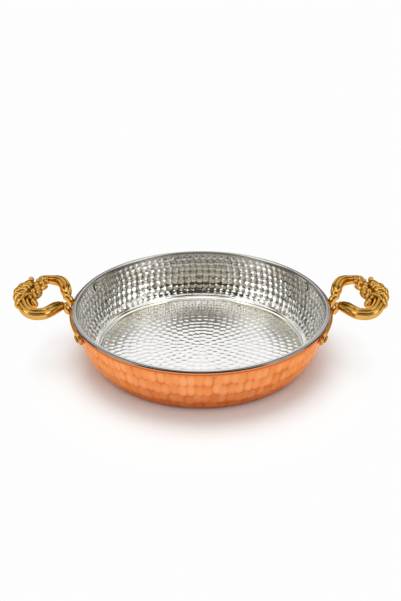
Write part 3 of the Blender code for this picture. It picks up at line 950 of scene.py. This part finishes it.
# Scrolls and leaves between the arms, in millimetres
ornament = {
    "rounds": [  # place, half sizes, turn in degrees
        ((31.0, 0.0, 7.2), (8.0, 12.0, 3.0), 0),
        ((27.6, 1.0, 7.4), (4.8, 6.0, 4.0), 0),
        ((27.0, 3.6, 10.6), (2.7, 2.7, 2.5), 0),
        ((29.2, -2.2, 10.6), (2.2, 2.4, 2.3), 0),
        ((28.4, -6.2, 8.6), (3.0, 3.4, 3.0), -20),
        ((35.4, 21.4, 9.0), (2.3, 2.3, 2.5), 0),
        ((34.0, 17.0, 8.0), (1.9, 5.0, 2.4), -20),
        ((30.2, 21.2, 7.8), (1.9, 1.9, 2.2), 0),
        ((26.5, 17.4, 7.6), (2.6, 3.4, 2.8), -30),
        ((23.6, 20.6, 7.4), (1.9, 3.2, 2.4), -40),
        ((24.6, 13.6, 5.6), (1.8, 4.4, 2.0), 40),
        ((31.0, 16.0, 5.8), (4.0, 10.0, 3.0), 30),
        ((27.8, -12.8, 6.0), (3.4, 6.2, 3.6), -35),
        ((30.6, -10.2, 9.4), (2.3, 2.5, 2.2), 0),
        ((27.4, -14.4, 8.6), (1.9, 2.6, 1.9), 0),
    ],
    "ridge": [
        (38.8, -23.4, 8.8), (36.5, -18.2, 11.6), (33.5, -13.1, 12.4), (30.5, -9.6, 12.2), (28.2, -7.6, 11.2),
    ],
    "ridgeRadii": [0.0010, 0.0013, 0.0013, 0.0012, 0.0010],  # in metres
}


def addOrnament(bm):
    for place, sizes, turn in ornament["rounds"]:
        bead(bm, [p * mm for p in place], [s * mm for s in sizes], turn)
    tapered(bm, [[p * mm for p in place] for place in ornament["ridge"]], ornament["ridgeRadii"])


# One skin over all the forms, as in a casting
def fuse(piece):
    cast = piece.modifiers.new("cast", "REMESH")
    cast.mode = "VOXEL"
    cast.voxel_size = handle["voxel"]
    soft = piece.modifiers.new("soft", "SMOOTH")
    soft.factor = 0.5
    soft.iterations = handle["smoothing"]
    settle(piece)


def neighbourMean(edges, values, count):
    total = np.zeros_like(values)
    met = np.zeros(count)
    for a, b in ((0, 1), (1, 0)):
        np.add.at(total, edges[:, a], values[edges[:, b]])
        np.add.at(met, edges[:, a], 1)
    return total / np.maximum(met, 1)[:, None]


# Stores how deep each point lies under the smoothed skin, as painted shade in the hollows
def markHollows(mesh):
    def read(items, column, width, kind=float):
        values = np.empty(len(items) * width, dtype=kind)
        items.foreach_get(column, values)
        return values.reshape(-1, width)

    count = len(mesh.vertices)
    places, normals = read(mesh.vertices, "co", 3), read(mesh.vertices, "normal", 3)
    edges = read(mesh.edges, "vertices", 2, np.int64)
    soft = places.copy()
    for _ in range(handle["hollowRounds"]):
        soft = neighbourMean(edges, soft, count)
    depth = ((soft - places) * normals).sum(axis=1)
    values = np.clip(depth / handle["hollowDepth"], 0, 1)[:, None]
    for _ in range(3):
        values = neighbourMean(edges, values, count)
    mesh.attributes.new("shade", "FLOAT", "POINT").data.foreach_set("value", values.ravel())


def makeHandles():
    ribs = grow("handleRight", bpy.data.meshes.new("ribs"), shellRibsTree(), dict(shell, Finish=brass))
    bm = bmesh.new()
    bm.from_mesh(ribs.data)
    addLegs(bm)
    addArms(bm)
    addOrnament(bm)
    addStrap(bm)
    bmesh.ops.recalc_face_normals(bm, faces=bm.faces)
    mesh = bpy.data.meshes.new("handleForms")
    bm.to_mesh(mesh)
    bm.free()
    ribs.data = mesh
    fuse(ribs)
    markHollows(ribs.data)
    ribs.data.shade_smooth()
    ribs.data.materials.clear()
    ribs.data.materials.append(brass)
    mirrored = ribs.data.copy()
    mirrored.transform(Matrix.Diagonal((-1, 1, 1, 1)))
    mirrored.flip_normals()
    return ribs, addObject("handleLeft", mirrored)


for piece, node in zip(makeHandles(), ("handle_right", "handle_left")):
    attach(piece, "root")
    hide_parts(node)
    print(piece.name, len(piece.data.vertices), "points")


# Rivets: turned and hammered as the pan is, then set in the wall

rivet = {
    "radius": 0.0020,
    "headRadius": 0.0031,
    "headHeight": 0.0013,
    "headRow": (0.62, 0.8, 7, 0.3),  # shares of radius and height, blows, shift for each seed
    "peenRadius": 0.0039,
    "peenHeight": 0.0008,
    "peenRow": (0.6, 1, 6, 0.2),
    "peenCurve": ((0, 1), (0.4, 1), (0.75, 1), (0.93, 0.8), (1, 0.4), (0.99, 0)),
    "Steps Round": 64,
    "Mark Depth": 0.00008,
    "Mark Reach": 0.0016,
    "Dished": 1.0,
    "Seam Shade": 0.8,
    "Mark Tone And Highlight": 1.0,
    "Wander": 0.0003,
    "Uneven": 0.5,
    "Finish": rivetBrass,
}


def rivetFrame(azimuth):
    radius, height = strapMiddle()
    out = Matrix.Rotation(azimuth, 4, "Z") @ Matrix.Rotation(pi / 2 + pan["lean"], 4, "Y")
    out.translation = (radius * cos(azimuth), radius * sin(azimuth), height)
    return out


def makeRivet(name, azimuth, seed):
    seat = strap["thickness"] + 2 * strap["gap"]
    inside = -pan["wall"] - strap["gap"]
    head, high = rivet["headRadius"], rivet["headHeight"]
    peen, low = rivet["peenRadius"], rivet["peenHeight"]
    profile = [(peen * across, inside - low * down) for across, down in rivet["peenCurve"]]
    profile += [(rivet["radius"], inside), (rivet["radius"], seat)]
    profile += [(head * cos(t), seat + high * sin(t)) for t in np.radians(np.arange(0, 90, 7.5))]
    profile.append((0, seat + high))
    points = [(r, z, 1.0 if abs(z) > seat or z < inside else 0.0) for r, z in profile]
    rows = []
    for row, radius, foot, rise in (("headRow", head, seat, high), ("peenRow", peen, inside, -low)):
        across, up, blows, shift = rivet[row]
        rows += [(radius * across, foot + rise * up, blows, seed * shift), (hair, foot + rise, 1, 0)]
    made = hammered(name, points, rows, {**rivet, "Seed": seed})
    made.data.materials.append(tin)
    for face in made.data.polygons:
        if face.center.z < 0:
            face.material_index = len(made.data.materials) - 1  # tinned with the inside of the pan
    made.data.transform(rivetFrame(azimuth))
    return made


rivetPlaces = {
    "right_front": -rivetAngle,
    "right_back": rivetAngle,
    "left_front": pi + rivetAngle,
    "left_back": pi - rivetAngle,
}
for seed, (place, azimuth) in enumerate(rivetPlaces.items()):
    piece = makeRivet("rivet." + place, azimuth, seed + 1)
    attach(piece, "root")
    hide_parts("rivet_" + place)
print("rivets set")


# Stage: a white floor, one soft lamp, and a room for the metal to mirror

studio = {
    "floorColour": (0.93, 0.925, 0.92),
    "white": 0.985,
    "shadowReach": (0.086, 0.137),  # the lit floor gives way to plain white between these distances
    "shadowShift": 0.015,  # and its middle lies this far in front of the pan's
    "mirrorReach": (0.073, 0.108),  # and so it does in the metal's reflections
    "floorReach": 6,
    "keyPower": 7.0,
    "keySize": 0.9,
    "keyPlace": (-0.10, 0.15, 1.3),
    "fill": 0.78,  # even light on the floor
    "surround": 0.10,
    "core": 0.6,  # share of each oval that is full
    "gaps": {"W": 4.00, "Scale": 2.60, "Detail": 1.0},  # noise that breaks the ovals up
    "gapRange": (0.540, 0.683),
}

# What the metal mirrors, as ovals on the sky: colour, middle and half size of the bearing (0 over the
# camera, 180 behind the pan) and of the height, in degrees, and how far each is broken up
ovals = [
    ((1.7, 1.68, 1.6), (0, 400), (90, 14), 0.0),
    ((2.5, 2.52, 2.45), (57, 45), (30, 28), 0.1),
    ((1.08, 1.08, 1.08), (176, 24), (42, 28), 0.0),
    ((0.50, 0.50, 0.51), (138, 24), (26, 26), 0.2),
    ((0.06, 0.05, 0.035), (18, 66), (37, 12), 0.0),
    ((0.96, 0.96, 0.94), (80, 22), (50, 29), 0.2),
    ((0.95, 0.93, 0.84), (99, 52), (27, 8), 0.3),
    ((0.4, 0.35, 0.24), (16, 49), (17, 12), 0.3),
    ((2.27, 2.25, 2.05), (75, 20), (67, 15), 0.0),
    ((1.75, 1.65, 1.3), (130, 13), (62, 28), 0.3),
    ((1.25, 1.2, 1.05), (12, 59), (66, 7), 0.2),
]


def makeFloor():
    finish = bpy.data.materials.new("paleFloor")
    finish.use_nodes = True
    tree = finish.node_tree
    shader = tree.nodes["Principled BSDF"]
    shader.inputs["Base Color"].default_value = (*studio["floorColour"], 1)
    shader.inputs["Roughness"].default_value = 0.9
    shader.inputs["Specular IOR Level"].default_value = 0.1
    place = tree.nodes.new("ShaderNodeTexCoord").outputs["Object"]
    shifted = vectorMaths(tree, "ADD", {0: place, 1: (0, studio["shadowShift"], 0)})
    away = vectorMaths(tree, "LENGTH", {0: shifted}, "Value")
    rays = tree.nodes.new("ShaderNodeLightPath").outputs
    mirrored = maths(tree, "MAXIMUM", rays["Is Glossy Ray"], rays["Is Transmission Ray"])
    share = maths(
        tree, "MAXIMUM",
        maths(tree, "MULTIPLY", rays["Is Camera Ray"], remap(tree, away, *studio["shadowReach"])),
        maths(tree, "MULTIPLY", mirrored, remap(tree, away, *studio["mirrorReach"])),
    )
    plain = addNode(tree, "ShaderNodeEmission", {"Color": (1, 1, 1, 1), "Strength": studio["white"]})
    mix = addNode(tree, "ShaderNodeMixShader", {0: share, 1: shader.outputs[0], 2: plain.outputs[0]})
    tree.links.new(mix.outputs[0], tree.nodes["Material Output"].inputs["Surface"])
    mesh = bpy.data.meshes.new("floor")
    reach = studio["floorReach"]
    corners = [(-reach, -reach, 0), (reach, -reach, 0), (reach, reach, 0), (-reach, reach, 0)]
    mesh.from_pydata(corners, [], [(0, 1, 2, 3)])
    mesh.materials.append(finish)
    floor = addObject("floor", mesh)


def makeWorld():
    world = bpy.data.worlds.new("studio")
    scene.world = world
    world.use_nodes = True
    tree = world.node_tree
    tree.nodes.clear()
    plus, minus, times, over = sums(tree)
    sky = tree.nodes.new("ShaderNodeTexCoord").outputs["Generated"]
    way = addNode(tree, "ShaderNodeSeparateXYZ", {0: sky}).outputs
    height = maths(tree, "DEGREES", maths(tree, "ARCSINE", way["Z"]))
    towards = maths(tree, "ARCTAN2", way["X"], times(way["Y"], -1))
    bearing = maths(tree, "ABSOLUTE", maths(tree, "DEGREES", towards))
    noise = addNode(tree, "ShaderNodeTexNoise", {"Vector": sky, **studio["gaps"]}, noise_dimensions="4D")
    gaps = remap(tree, noise.outputs[0], *studio["gapRange"])

    def squareAway(angle, middle, half):
        return maths(tree, "POWER", over(minus(angle, middle), half), 2)

    level = studio["surround"]
    room = (level, level, level, 1)
    for colour, across, up, broken in ovals:
        away = maths(tree, "SQRT", plus(squareAway(bearing, *across), squareAway(height, *up)))
        share = times(remap(tree, away, studio["core"], 1.0, 1.0, 0.0), minus(1.0, times(gaps, broken)))
        room = mixed(tree, share, room, (*colour, 1))
    rays = tree.nodes.new("ShaderNodeLightPath").outputs
    for ray, value in (("Is Diffuse Ray", studio["fill"]), ("Is Camera Ray", studio["white"])):
        room = mixed(tree, rays[ray], room, (value, value, value, 1))
    shade = addNode(tree, "ShaderNodeBackground", {"Color": room, "Strength": 1.0})
    addNode(tree, "ShaderNodeOutputWorld", {"Surface": shade.outputs[0]})


def addLamp():
    data = bpy.data.lights.new("overhead", "AREA")
    data.shape = "DISK"
    data.size = studio["keySize"]
    data.energy = studio["keyPower"]
    lamp = addObject("overhead", data)
    lamp.visible_glossy = False  # the metal mirrors the room, not the lamp
    lamp.location = studio["keyPlace"]
    lamp.rotation_euler = (-lamp.location).to_track_quat("-Z", "Y").to_euler()


makeFloor()
makeWorld()
addLamp()
print("stage set")


# Camera: the photograph's angle, six rim radii away

view = {
    "distance": 0.6,
    "elevation": radians(27.67),
    "focal": 770.6,  # this, the shift and the frame are in pixels of the photograph
    "shift": (-0.61, 1.64),
    "frameHeight": 601,
    "sensor": 36,
    "clip": (0.01, 50),
}


def makeCamera():
    data = bpy.data.cameras.new("photoCamera")
    data.sensor_width = data.sensor_height = view["sensor"]
    data.sensor_fit = "VERTICAL"
    data.lens = view["focal"] / view["frameHeight"] * view["sensor"]
    data.shift_x, data.shift_y = (pixels / view["frameHeight"] for pixels in view["shift"])
    data.clip_start, data.clip_end = view["clip"]
    camera = addObject("photoCamera", data)
    lift = view["elevation"]
    camera.location = (0, -view["distance"] * cos(lift), pan["height"] + view["distance"] * sin(lift))
    camera.rotation_euler = (pi / 2 - lift, 0, 0)
    scene.camera = camera


makeCamera()
scene.view_settings.view_transform = "Standard"
